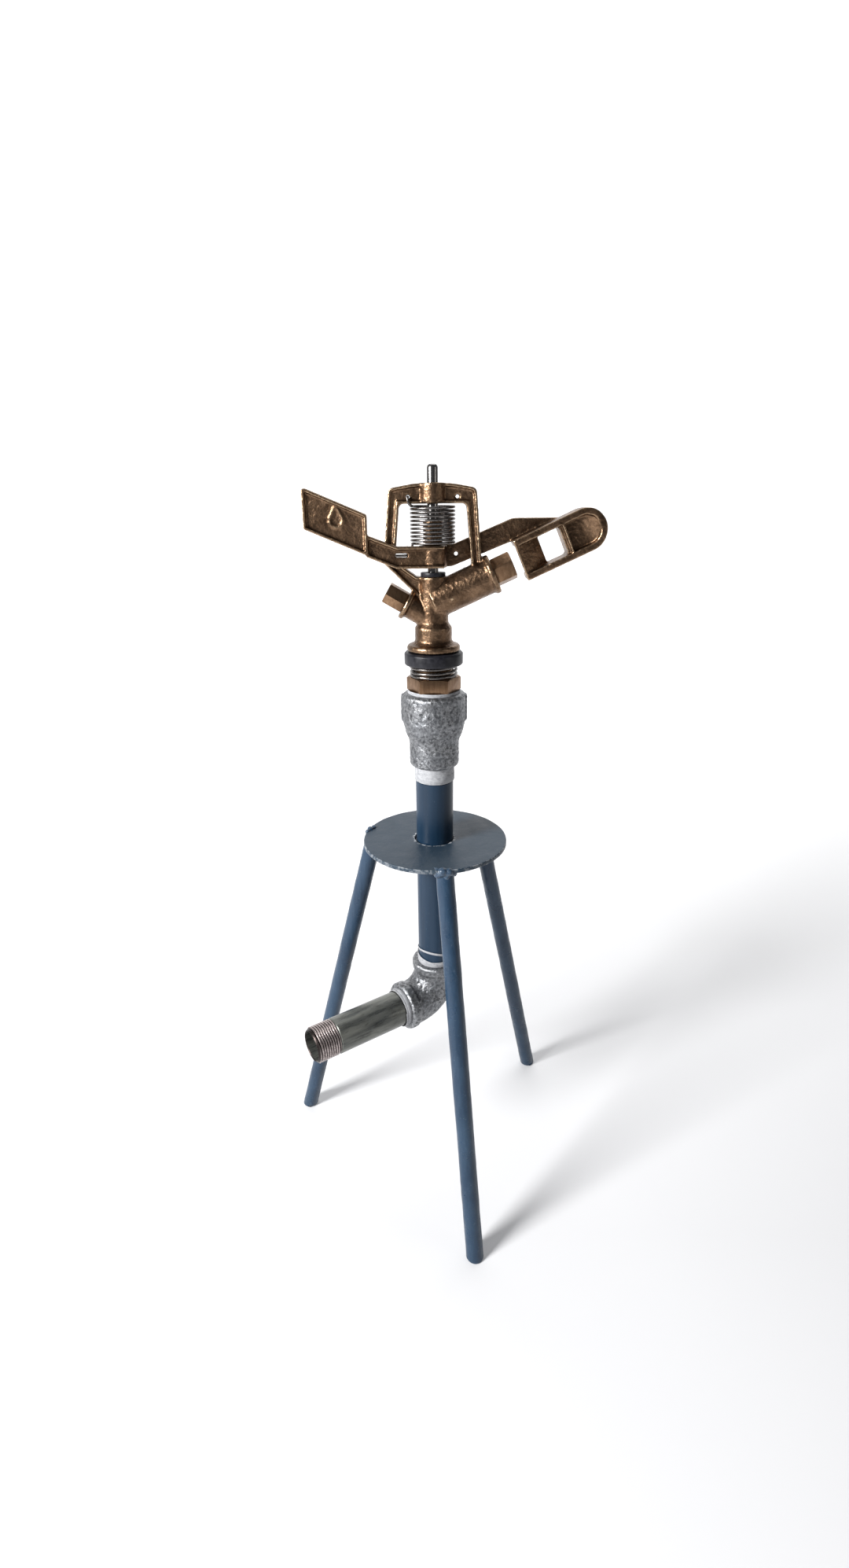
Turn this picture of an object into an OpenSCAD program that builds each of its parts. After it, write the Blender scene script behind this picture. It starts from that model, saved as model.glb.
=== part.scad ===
// Two-nozzle impact sprinkler on a riser and a welded tripod stand.
// Origin on the ground under the riser's axis, +Z up, +X the way the range tube points.

/* [Stand] */
// Height of the plate's top face above the ground
plate_top = 283; // [250:1:340]
// Diameter of the round plate
plate_d = 105.4; // [96:0.2:130]
// Thickness of the plate
plate_t = 3; // [2:0.5:5]
// Diameter of the bar that the legs are cut from
leg_d = 12.5; // [9:0.5:15]
// Distance of a foot's centre from the riser's axis
foot_r = 120; // [90:1:150]
// Distance of a leg's top end from the riser's axis
leg_top_r = 46.5; // [40:0.5:47]
// Size of the weld beads
weld = 2.6; // [1.5:0.1:3.5]

/* [Pipework] */
// Outside diameter of the 3/4 inch pipe
pipe_d = 26.9; // [24:0.1:32.5]
// Wall of the pipe
pipe_wall = 2.65; // [2.2:0.05:3.2]
// Height of the elbow's centre above the ground
elbow_z = 145; // [120:1:160]
// Distance from the elbow's centre to the face of each mouth
elbow_reach = 33; // [31:0.5:42]
// Reach of the inlet pipe's free end from the riser's axis
inlet_reach = 111; // [90:1:180]
// Direction of the inlet, counter-clockwise from +X
inlet_azimuth = 214.7; // [190:0.1:232]
// Length of riser that shows between the plate and the socket
riser_show = 58; // [45:1:90]
// Length of each male thread on the pipes
thread_len = 18; // [15:0.5:22]
// Depth that a pipe screws into a fitting
engage = 15; // [12:0.5:17]
// Thickness of the sealing tape that fills a joint
tape_film = 0.2; // [0.1:0.05:0.3]
// Thickness of the tape where it stands outside a joint
tape_wrap = 0.75; // [0.5:0.05:1]

/* [Socket] */
// Length of the reducing socket
socket_len = 52.5; // [48:0.5:64]
// Outside diameter of the large end
socket_d = 43.5; // [42:0.5:53]
// Outside diameter of the small end
socket_small_d = 34.7; // [33:0.1:40]
// Height of the two grip ribs above the surface
rib_h = 1.1; // [0.5:0.1:1.6]
// Width of the grip ribs
rib_w = 5.5; // [3:0.5:8]

/* [Bearing] */
// Outside diameter of the nipple's 1 inch thread
nipple_d = 33; // [31.5:0.1:34]
// Hexagon of the nipple, across its flats
nipple_af = 32; // [31:0.5:38]
// Height of the hexagon
hex_h = 9.5; // [7:0.5:12]
// Outside diameter of the turning tube
tube_d = 25; // [22:0.5:25.5]
// Water passage through the tube
tube_bore = 16; // [13:0.5:16.5]
// Radial clearance of every running fit
run_gap = 0.05; // [0.02:0.01:0.1]
// Distance that the head can be pushed down against the bearing spring
float_travel = 1.5; // [0.5:0.1:2]
// Height of bearing spring that shows between the hexagon and the cap
spring_show = 8.3; // [7:0.1:12]
// Outside diameter of the bearing spring
bearing_coil_d = 32.5; // [31:0.1:33]
// Wire of the bearing spring
bearing_wire = 2; // [1.5:0.1:2.3]
// Outside diameter of the black spring cap
cap_d = 39.5; // [38:0.5:46]
// Height of the spring cap
cap_h = 8.7; // [7:0.1:11]

/* [Body] */
// Diameter of the flange over the spring cap
flange_d = 35.5; // [32:0.5:39]
// Thickness of that flange
flange_t = 4.7; // [3.5:0.1:6]
// Outside diameter of the neck
neck_d = 24.6; // [24:0.1:29]
// Height of the neck
neck_h = 12; // [10:0.5:16]
// Diameter of the top boss that holds the pin
boss_d = 18.4; // [16:0.2:22]
// Height from the flange's underside to the top of the boss
body_h = 48.1; // [46:0.1:58]
// Outside diameter of the range tube
range_d = 22.7; // [20:0.1:25]
// Rise of the range tube above level
range_angle = 24.2; // [20:0.1:27]
// Length of the range tube from the riser's axis to the face of its flange
range_len = 43.5; // [42:0.5:48]
// Outside diameter of the spreader port
spreader_d = 16.6; // [15:0.1:20]
// Rise of the spreader port above level
spreader_angle = 30; // [25:1:35]
// Length of the spreader port to the face of its flange
spreader_len = 21.2; // [20:0.1:25]

/* [Bridge] */
// Height of the bridge's crown above the boss
bridge_h = 56; // [54:0.5:68]
// Width of the bridge at its shoulders
bridge_w = 55; // [50:0.5:62]
// Depth of the bridge's web, front to back
bridge_web = 6; // [5:0.1:6.4]
// Depth of the bridge's rims, front to back
bridge_rim = 9; // [8:0.1:9.4]
// Diameter of the boss at the crown
crown_d = 16.5; // [14:0.5:19]

/* [Nozzles] */
// Hexagon of the main nozzle, across its flats
main_af = 16; // [14.5:0.5:19]
// Length of the main nozzle's hexagon
main_len = 12.8; // [10:0.1:13.5]
// Jet diameter of the main nozzle
main_jet = 5.2; // [4:0.1:6.5]
// Hexagon of the spreader nozzle, across its flats
spreader_af = 12.7; // [11:0.1:15]
// Length of the spreader nozzle's hexagon
spreader_nozzle_len = 14; // [10:0.5:17]
// Jet diameter of the spreader nozzle
spreader_jet = 3.2; // [2.4:0.1:4]

/* [Arm] */
// Diameter of the fulcrum pin
pin_d = 7; // [6:0.1:7.6]
// Length of pin that stands above the bridge
pin_stand = 11; // [6:0.5:16]
// Gap between the boss and the arm's hub
arm_lift = 5.5; // [4.5:0.1:7]
// Thickness of the black washer on the boss
arm_washer_t = 2.5; // [1.5:0.1:3.5]
// Diameter of the arm's hub
hub_d = 18; // [16:0.2:19.4]
// Height of the hub and of the bars beside it
hub_h = 13.5; // [12:0.5:14.5]
// Diameter of the sleeve inside the torsion spring
sleeve_d = 12.4; // [11.6:0.1:14]
// Height of that sleeve above the hub
sleeve_h = 15; // [10:0.5:20]
// Thickness of the arm's two bars, front to back
bar_t = 4.2; // [3.5:0.1:5]
// Nearest face of each bar to the plane of the bridge
bar_y = 5.3; // [5:0.1:6]
// Outside diameter of the torsion spring
arm_coil_d = 29; // [27:0.5:32]
// Wire of the torsion spring
arm_wire = 1.6; // [1.2:0.1:1.8]
// Turns of the torsion spring
arm_turns = 10; // [8:1:12]

/* [Vane and spoon] */
// Rise of the vane's edges, going outwards
vane_angle = 22.5; // [18:0.5:26]
// Length of the vane, measured level
vane_len = 39.5; // [30:0.5:46]
// Height of the vane's outer edge
vane_h = 24.5; // [20:0.5:30]
// Height of the rims around the vane and along the bar
rim_h = 2; // [1:0.1:2.5]
// Width of those rims
rim_w = 1.8; // [1.2:0.1:2.5]
// Gap along the jet between the nozzle's face and the spoon
jet_gap = 5; // [4:0.5:9]
// Length of the spoon along the jet
spoon_len = 57.5; // [52:0.5:70]
// Width of the spoon across the jet
spoon_w = 26.5; // [24:0.5:32]
// Depth of the spoon, front to back
spoon_depth = 17; // [15:0.5:19]
// Length of the window along the jet
window_len = 13.5; // [10:0.5:16]
// Depth of the spoon's pocket
pocket_depth = 5.5; // [3:0.5:7]

/* [Hidden] */
$fn = 96;

// stand: the bars were set by eye before welding, so their spacing is not quite even
leg_foot_azimuth = [-77, 42, 166];
leg_top_azimuth = [-82, 43, 170];
// turn of each round bar about its own axis
bar_turn = 77;
plate_under = plate_top - plate_t;
plate_gap = 1.1;

// pipework, from the ground up
pipe_r = pipe_d / 2;
bore_r = pipe_r - pipe_wall;
thread_r = pipe_r - 0.25;
deep_thread_r = thread_r - 0.25;
female_r = thread_r + tape_film;
pitch = 1.814;
thread_depth = 1.1;
mouth_len = 9;
mouth_r = female_r + 5;
elbow_r = mouth_r - 1.3;
bend_r = elbow_reach - mouth_len;
riser_z0 = elbow_z + elbow_reach - engage;
socket_z = plate_top + riser_show;
riser_z1 = socket_z + engage;
inlet_r0 = elbow_reach - engage;

// bearing stack
socket_top = socket_z + socket_len;
hex_z = socket_top + 1.5;
hex_top = hex_z + hex_h;
nipple_foot = hex_z - 16;
nipple_r = nipple_d / 2;
nipple_bore_r = nipple_r + tape_film;
tube_r = tube_d / 2;
washer_t = 1.4;
seal_t = 3;
seal_top = nipple_foot - washer_t;
seal_foot = seal_top - seal_t;
foot_top = seal_foot - washer_t;
foot_t = 3.2;
foot_z = foot_top - foot_t;
washer_r = nipple_r - 2;
chamber_r = washer_r + 1.1;
chamber_z = foot_z - float_travel - 3;
cap_z = hex_top + spring_show;
cap_top = cap_z + cap_h;
cap_seat = cap_z + cap_h / 2;

// body, all from the underside of its flange
flange_z = cap_top + 0.4;
neck_z = flange_z + flange_t;
barrel_z = neck_z + neck_h;
boss_z = flange_z + body_h;
range_z = flange_z + 31.7;
spreader_z = flange_z + 20.9;
tube_thread_r = neck_d / 2 - 1.9;
tube_top = barrel_z - 3;
range_flange_d = range_d + 2.8;
spreader_flange_d = spreader_d + 4.4;
range_bore_r = 6;
main_thread_r = 7;
spreader_thread_r = 5;
main_shank = 13;
spreader_shank = 8;
pin_seat = boss_z - 11;

// bridge
crown_z = boss_z + bridge_h;
shoulder_z = crown_z - 3;
window_top = crown_z - 12;
bridge_leg = 6.4;
hole_x = 15.5;
hole_z = crown_z - 8;

// arm
hub_z = boss_z + arm_lift;
hub_top = hub_z + hub_h;
pin_r = pin_d / 2;
bush_r = pin_r + 1.5;
bush_h = 8;
coil_z = hub_top + 0.8;
coil_top = window_top - 0.5;
bar_back = bar_y + bar_t;
bend_x = 23;
vane_x = 41;
vane_step = 0.6;
vane_z = hub_z + (vane_x - bend_x) * tan(vane_angle) + vane_step;

// spoon, in the jet's own frame: u along the jet, v across it
u0 = range_len + main_len + jet_gap;
u1 = u0 + spoon_len;
v_mid = 0.6;
end_r = spoon_w / 2;
rail = 4.1;
window_u = u0 + 15.8;
lip_t = 1.2;
pocket_u = window_u + window_len + 2.4 + lip_t;
spoon_wall = 3.5;
lip_drop = 2.5;
back_edge = 3.5;
core_stop = 8;
round_r = 27;
round_centre_u = u1 - 22.7;
plate_slope_t = 3;
spoon_back = bar_back - 0.5;
front_y = spoon_back - spoon_depth;

// ---- plane geometry ----
function unit(a) = a / norm(a);
// points of a polygon with a radius at each corner, given as [x, z, radius]
function corner(a, p, b, r) = r <= 0 ? [p] :
    let (s = unit(a - p), t = unit(b - p), half = acos(s * t) / 2,
         c = p + unit(s + t) * r / sin(half), p0 = p + s * r / tan(half), p1 = p + t * r / tan(half),
         a0 = atan2(p0.y - c.y, p0.x - c.x), a1 = atan2(p1.y - c.y, p1.x - c.x),
         turn = (a1 - a0 + 540) % 360 - 180, steps = max(2, ceil(abs(turn) / 12)))
    [for (i = [0 : steps]) c + r * [cos(a0 + turn * i / steps), sin(a0 + turn * i / steps)]];
function flat(p) = [p.x, p.y];
function outline(pts) = let (n = len(pts))
    [for (i = [0 : n - 1]) each corner(flat(pts[(i + n - 1) % n]), flat(pts[i]), flat(pts[(i + 1) % n]), pts[i].z)];
// the same polygon, its sides moved inwards by d; the points run counter-clockwise
function inset(pts, d) = let (n = len(pts))
    [for (i = [0 : n - 1])
        let (a = flat(pts[(i + n - 1) % n]), p = flat(pts[i]), b = flat(pts[(i + 1) % n]),
             e = unit(p - a), f = unit(b - p), m = [-e.y, e.x], k = [-f.y, f.x],
             q = p + d * (m + k) / (1 + m * k))
        [q.x, q.y, max(pts[i].z - d, 0.3)]];

// an upright polygon in X and Z, from y0 to y1
module slab(y0, y1, pts) {
    translate([0, y1, 0]) rotate([90, 0, 0]) linear_extrude(y1 - y0) polygon(pts);
}
// a solid of revolution about Z from [radius, height] points
module turned(pts) {
    rotate_extrude() polygon(pts);
}
module ring(r0, r1, z0, z1) {
    turned([[r0, z0], [r1, z0], [r1, z1], [r0, z1]]);
}
// crest and root points of a thread drawn as grooves, going up from z0
function thread_points(r, z0, z1, depth) = let (turns = floor((z1 - z0) / pitch))
    [for (i = [0 : turns - 1]) each [[r - depth, z0 + i * pitch], [r, z0 + (i + 0.35) * pitch],
        [r, z0 + (i + 0.65) * pitch], [r - depth, z0 + (i + 0.99) * pitch]]];
// hexagon bar with both ends chamfered, from z0 to z1
module hex_bar(af, z0, z1, chamfer) {
    tip_r = af / sqrt(3);
    intersection() {
        translate([0, 0, z0]) cylinder(h = z1 - z0, r = tip_r, $fn = 6);
        turned([[0, z0], [tip_r - chamfer, z0], [tip_r + 0.1, z0 + chamfer * 0.6],
            [tip_r + 0.1, z1 - chamfer * 0.6], [tip_r - chamfer, z1], [0, z1]]);
    }
}
module jet_frame() {
    translate([0, 0, range_z]) rotate([0, -range_angle, 0]) children();
}
// Z runs along the range tube
module range_axis() {
    translate([0, 0, range_z]) rotate([0, 90 - range_angle, 0]) children();
}
// Z runs along the spreader port
module spreader_axis() {
    translate([0, 0, spreader_z]) rotate([0, spreader_angle - 90, 0]) children();
}
module inlet_axis() {
    translate([0, 0, elbow_z]) rotate([0, 90, inlet_azimuth]) children();
}

// ---- stand ----
module tripod_plate() {
    color("steelblue") difference() {
        turned([[0, plate_under], [plate_d / 2 - 0.4, plate_under], [plate_d / 2, plate_under + 0.4],
            [plate_d / 2, plate_top - 0.4], [plate_d / 2 - 0.4, plate_top], [0, plate_top]]);
        translate([-0.6, 0, plate_under - 1]) cylinder(h = plate_t + 2, r = pipe_r + plate_gap);
    }
}
function on_circle(r, azimuth, z) = [r * cos(azimuth), r * sin(azimuth), z];
module leg_axis(i) {
    foot = on_circle(foot_r, leg_foot_azimuth[i], 0);
    run = on_circle(leg_top_r, leg_top_azimuth[i], plate_under) - foot;
    translate(foot) rotate([0, acos(run.z / norm(run)), atan2(run.y, run.x)]) children();
}
module leg(i) {
    color("steelblue") intersection() {
        leg_axis(i) translate([0, 0, -20]) rotate([0, 0, bar_turn])
            cylinder(h = plate_under * 1.1 + 40, d = leg_d);
        translate([-2 * foot_r, -2 * foot_r, 0]) cube([4 * foot_r, 4 * foot_r, plate_under]);
    }
}
module leg_front() { leg(0); }
module leg_right() { leg(1); }
module leg_left() { leg(2); }
// a bead around the top of each bar, against the plate
module leg_welds() {
    bead_z = plate_under - weld;
    color("slategray") for (i = [0 : 2])
        intersection() {
            leg_axis(i) translate([0, 0, bead_z]) rotate([0, 0, bar_turn]) ring(leg_d / 2, leg_d / 2 + weld, -1, 6 * weld);
            translate([-2 * foot_r, -2 * foot_r, bead_z]) cube([4 * foot_r, 4 * foot_r, weld]);
        }
}
module riser_weld() {
    color("slategray") turned([[pipe_r, plate_under - weld - 1], [pipe_r + weld + 1, plate_under],
        [pipe_r, plate_under]]);
}

// ---- pipework ----
module riser_pipe() {
    z1 = riser_z0 + thread_len;
    z2 = riser_z1 - thread_len - 8;
    color("steelblue") turned(concat([[bore_r, riser_z0]], thread_points(thread_r, riser_z0, z1, thread_depth),
        [[pipe_r, z1 + 1], [pipe_r, z2 - 1]], thread_points(thread_r, z2, riser_z1, thread_depth),
        [[bore_r, riser_z1]]));
}
module inlet_pipe() {
    z1 = inlet_r0 + thread_len;
    z2 = inlet_reach - thread_len;
    color("darkslategray") inlet_axis() turned(concat([[bore_r, inlet_r0]],
        thread_points(deep_thread_r, inlet_r0, z1, thread_depth), [[pipe_r, z1 + 1], [pipe_r, z2 - 1]],
        thread_points(thread_r, z2, inlet_reach - 0.8, thread_depth), [[bore_r + 0.4, inlet_reach],
        [bore_r, inlet_reach]]));
}
// one mouth of the elbow, its face at the reach
module mouth(r0, r1, chamfer) {
    z0 = elbow_reach - mouth_len;
    turned([[r0, z0], [r1 - 2, z0], [r1, z0 + 2.5], [r1, elbow_reach - chamfer],
        [r1 - chamfer, elbow_reach], [r0, elbow_reach]]);
}
module bend(r) {
    rotate([0, 0, inlet_azimuth]) translate([bend_r, 0, elbow_z + bend_r]) rotate([90, 0, 0])
        rotate_extrude(angle = 90, start = 180) translate([bend_r, 0]) circle(r);
}
module elbow() {
    color("silver") difference() {
        union() {
            bend(elbow_r);
            translate([0, 0, elbow_z]) mouth(0, mouth_r, 1.2);
            inlet_axis() mouth(0, mouth_r, 1.2);
        }
        bend(bore_r);
        for (turn = [0, 1]) {
            translate([0, 0, elbow_z]) rotate([0, 90 * turn, inlet_azimuth])
                translate([0, 0, elbow_reach - engage]) cylinder(h = engage + 1, r = female_r);
        }
    }
}
// tape wound in a joint: a film inside the fitting and a wrap that shows outside it
module tape(inner, outer, z_in, z_face, z_out) {
    turned([[inner, z_in], [inner, z_out], [inner + tape_wrap, z_out], [inner + tape_wrap, z_face],
        [outer, z_face], [outer, z_in]]);
}
module tape_riser_bottom() {
    top = elbow_z + elbow_reach;
    color("white") tape(thread_r, female_r, riser_z0, top, riser_z0 + thread_len);
}
module tape_riser_top() {
    color("white") translate([0, 0, socket_z]) mirror([0, 0, 1])
        tape(thread_r, female_r, -engage, 0, 10.5);
}
module tape_inlet() {
    color("white") inlet_axis()
        tape(deep_thread_r, female_r, inlet_r0, elbow_reach, inlet_r0 + thread_len);
}
module tape_nipple() {
    color("white") turned([[nipple_r, nipple_foot + 1], [nipple_r, hex_z], [nipple_r + tape_wrap, hex_z],
        [nipple_r + tape_wrap, socket_top], [nipple_bore_r, socket_top], [nipple_bore_r, nipple_foot + 1]]);
}

// ---- socket and bearing ----
module reducing_socket() {
    big_r = socket_d / 2;
    small_r = socket_small_d / 2;
    cone_z = socket_z + engage + 3;
    cone_top = socket_z + socket_len * 0.6;
    color("silver") difference() {
        union() {
            turned([[0, socket_z], [small_r - 1.6, socket_z], [small_r, socket_z + 1.6],
                [small_r, cone_z], [(small_r + big_r) / 2 + 0.3, (cone_z + cone_top) / 2],
                [big_r, cone_top + 1], [big_r, socket_top - 2], [big_r - 2, socket_top], [0, socket_top]]);
            for (side = [-1, 1])
                translate([side * (big_r + rib_h - 2), 0, (cone_top + socket_top) / 2])
                    cube([4, rib_w, socket_top - cone_top - 3], center = true);
        }
        turned([[0, socket_z - 1], [female_r, socket_z - 1], [female_r, socket_z + engage],
            [bore_r, socket_z + engage], [bore_r, chamber_z - 4], [chamber_r, chamber_z],
            [chamber_r, nipple_foot - 2], [nipple_bore_r, nipple_foot - 2], [nipple_bore_r, socket_top + 1],
            [0, socket_top + 1]]);
    }
}
module bearing_nipple() {
    color("peru") difference() {
        union() {
            hex_bar(nipple_af, hex_z, hex_top, 1.4);
            turned(concat([[0, nipple_foot]], thread_points(nipple_r, nipple_foot, hex_z, thread_depth),
                [[0, hex_z]]));
            ring(0, nipple_r - thread_depth, hex_z - pitch, hex_z);
        }
        translate([0, 0, nipple_foot - 1]) cylinder(h = hex_top - nipple_foot + 2, r = tube_r + run_gap);
    }
}
module upper_wear_washer() {
    color("ivory") ring(tube_r + run_gap, washer_r, seal_top, nipple_foot);
}
module seal_washer() {
    color("dimgray") ring(tube_r + run_gap, washer_r, seal_foot, seal_top);
}
module lower_wear_washer() {
    color("ivory") ring(tube_r, washer_r, foot_top, seal_foot - run_gap);
}
// outline of a coil spring as rings joined by a thin web
module coil_rings(outer, wire, turns, z0, z1) {
    step = (z1 - z0) / turns;
    inner = outer - wire;
    mid = outer - wire / 2;
    turned(concat(
        [for (i = [0 : turns - 1]) each [[mid + 0.2, z0 + i * step], [outer, z0 + (i + 0.3) * step],
            [outer, z0 + (i + 0.7) * step], [mid + 0.2, z0 + (i + 1) * step]]],
        [for (i = [turns - 1 : -1 : 0]) each [[mid - 0.2, z0 + (i + 1) * step], [inner, z0 + (i + 0.7) * step],
            [inner, z0 + (i + 0.3) * step], [mid - 0.2, z0 + i * step]]]));
}
module bearing_spring() {
    color("gainsboro") coil_rings(bearing_coil_d / 2, bearing_wire, 4, hex_top, cap_seat);
}
module spring_cap() {
    r = cap_d / 2;
    color("#1c1c20") turned([[tube_r + run_gap, cap_seat], [bearing_coil_d / 2 + 0.7, cap_seat],
        [bearing_coil_d / 2 + 0.7, cap_z], [r - 0.8, cap_z], [r, cap_z + 0.8], [r, cap_top - 1.2],
        [r - 1.2, cap_top], [tube_r + run_gap, cap_top]]);
}
module bearing_tube() {
    r = tube_bore / 2;
    color("goldenrod") turned(concat([[r, foot_z], [washer_r, foot_z], [washer_r, foot_top],
        [tube_r, foot_top], [tube_r, flange_z], [tube_thread_r - 0.9, flange_z]],
        thread_points(tube_thread_r, flange_z + 1, tube_top, 0.9), [[r, tube_top]]));
}

// ---- body ----
// points of the bridge's outer edge, from the right foot up and over to the left strap
bridge_half = bridge_w / 2;
strap_z = boss_z + 8.7;
bridge_outer = [[-7, boss_z - 15, 0], [-5, boss_z, 0], [-10.5, boss_z, 0], [-17, boss_z + 4.7, 2],
    [-24.2, strap_z + 1.3, 2], [bridge_leg - bridge_half, window_top, 3],
    [bridge_half - bridge_leg, window_top, 3], [bridge_half - bridge_leg + 3.8, boss_z + 4, 0],
    [bridge_half + 2.2, boss_z + 4, 0], [bridge_half + 3.6, boss_z + 8, 0], [bridge_half, shoulder_z, 4],
    [12, crown_z - 0.4, 30], [0, crown_z, 60], [-12, crown_z - 0.4, 30], [-bridge_half, shoulder_z, 4],
    [-bridge_half - 4, strap_z + 2, 3], [-bridge_half - 3.6, strap_z - 0.6, 2]];
module bridge() {
    half_web = bridge_web / 2;
    half_rim = bridge_rim / 2;
    slab(-half_web, half_web, outline(bridge_outer));
    difference() {
        slab(-half_rim, half_rim, outline(bridge_outer));
        slab(-half_rim - 1, half_rim + 1, outline(inset(bridge_outer, rim_w)));
    }
    translate([0, 0, window_top]) cylinder(h = crown_z - window_top, d = crown_d);
}
module body_shell() {
    neck_r = neck_d / 2;
    turned([[0, flange_z], [flange_d / 2 - 0.8, flange_z], [flange_d / 2, flange_z + 0.8],
        [flange_d / 2, neck_z - 1.5], [flange_d / 2 - 1.2, neck_z - 0.3], [neck_r + 2, neck_z],
        [neck_r, neck_z + 2], [neck_r, barrel_z - 1.2], [neck_r - 1, barrel_z],
        [boss_d / 2 + 0.8, barrel_z + 2], [boss_d / 2, boss_z - 10], [boss_d / 2, boss_z - 0.5],
        [boss_d / 2 - 0.5, boss_z], [0, boss_z]]);
    range_axis() turned([[0, 0], [range_d / 2, 0], [range_d / 2, range_len - 4],
        [range_flange_d / 2, range_len - 3], [range_flange_d / 2, range_len - 0.6],
        [range_flange_d / 2 - 0.6, range_len], [0, range_len]]);
    spreader_axis() turned([[0, 0], [spreader_d / 2, 0], [spreader_d / 2, spreader_len - 3.4],
        [spreader_flange_d / 2, spreader_len - 2.6], [spreader_flange_d / 2, spreader_len - 0.4],
        [spreader_flange_d / 2 - 0.4, spreader_len], [0, spreader_len]]);
    bridge();
}
module body_casting() {
    color("darkgoldenrod") difference() {
        body_shell();
        translate([0, 0, flange_z - 1]) cylinder(h = tube_top - flange_z + 1.5, r = tube_thread_r + 0.05);
        translate([0, 0, flange_z]) cylinder(h = range_z - flange_z, r = 7.5);
        range_axis() cylinder(h = range_len + 1, r = range_bore_r);
        range_axis() translate([0, 0, range_len - main_shank - 1])
            cylinder(h = main_shank + 2, r = main_thread_r + 0.05);
        spreader_axis() cylinder(h = spreader_len + 1, r = 3.6);
        spreader_axis() translate([0, 0, spreader_len - spreader_shank - 1])
            cylinder(h = spreader_shank + 2, r = spreader_thread_r + 0.05);
        translate([0, 0, pin_seat]) cylinder(h = crown_z - pin_seat + 1, r = pin_r + 0.01);
        for (side = [-1, 1])
            translate([side * hole_x, bridge_rim, hole_z]) rotate([90, 0, 0])
                cylinder(h = 2 * bridge_rim, d = arm_wire + 1, $fn = 24);
    }
}
// a nozzle along Z: threaded shank below the face, hexagon above it, water way through both
module nozzle(face, shank, thread, af, hex_len, inlet_r, jet, turn) {
    tip = face + hex_len;
    difference() {
        union() {
            rotate([0, 0, turn]) hex_bar(af, face, tip, 1);
            translate([0, 0, face - shank]) cylinder(h = shank + 1, r = thread);
        }
        turned([[0, face - shank - 1], [inlet_r, face - shank - 1], [inlet_r, face - shank],
            [jet / 2, tip - 4], [jet / 2, tip + 1], [0, tip + 1]]);
    }
}
module main_nozzle() {
    color("burlywood") range_axis()
        nozzle(range_len, main_shank, main_thread_r, main_af, main_len, 5.2, main_jet, 11);
}
module spreader_nozzle() {
    color("burlywood") spreader_axis()
        nozzle(spreader_len, spreader_shank, spreader_thread_r, spreader_af, spreader_nozzle_len, 3.4,
            spreader_jet, 25);
}
module fulcrum_pin() {
    top = crown_z + pin_stand;
    color("lightgray") turned([[0, pin_seat], [pin_r, pin_seat], [pin_r, top - 2], [pin_r - 0.5, top - 0.8],
        [pin_r - 1.6, top - 0.15], [0, top]]);
}
module arm_washer() {
    color("#1c1c20") ring(pin_r + run_gap, boss_d / 2 - 1.1, boss_z, boss_z + arm_washer_t);
}
module arm_spring() {
    color("gainsboro") coil_rings(arm_coil_d / 2, arm_wire, arm_turns, coil_z, coil_top);
}

// ---- arm ----
// bar on the left, in front of the bridge
vane_rise = vane_len * tan(vane_angle);
bar_rise = (vane_x - bend_x) * tan(vane_angle);
bar_end = hub_d / 2 - 1.5;
// the bar's outline up to a given end: the panel stops at the hub, and the rims run across it
function left_bar(end) = [[-vane_x - 1, hub_z + bar_rise, 0], [-bend_x, hub_z, 6], [end, hub_z, 0],
    [end, hub_top, 0], [-bend_x, hub_top, 6], [-vane_x - 1, hub_top + bar_rise * 0.95, 0]];
vane = [[-vane_x - vane_len, vane_z + vane_rise, 1.6], [-vane_x, vane_z, 1.6], [-vane_x, vane_z + vane_h, 1.6],
    [-vane_x - vane_len, vane_z + vane_h + vane_rise, 1.6]];
// bar on the right, behind the bridge, its lower edge along the top of the spoon
function in_jet(u, v) = [u * cos(range_angle) - v * sin(range_angle),
    range_z + u * sin(range_angle) + v * cos(range_angle), 0];
kink = in_jet(u0, v_mid + end_r);
rail_root = in_jet(u0 + 36, v_mid + end_r - 2);
bar_top = kink.y + hub_h;
right_bar = [[0, hub_z, 0], [12, hub_z, 8], in_jet(u0 + 0.3, v_mid + end_r - 0.8),
    in_jet(u0 + 3, v_mid + end_r - 2), rail_root, [rail_root.x - 1, bar_top, 0],
    [kink.x + 1, bar_top, 8], [13.5, hub_top + 0.5, 4], [0, hub_top, 0]];
module rimmed(y_front, y_back, pts, panel, hollow) {
    slab(y_front + rim_h, y_back, outline(panel));
    difference() {
        slab(y_front, y_back, outline(pts));
        slab(y_front - 1, y_back + 1, outline(inset(hollow, rim_w)));
    }
}
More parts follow.
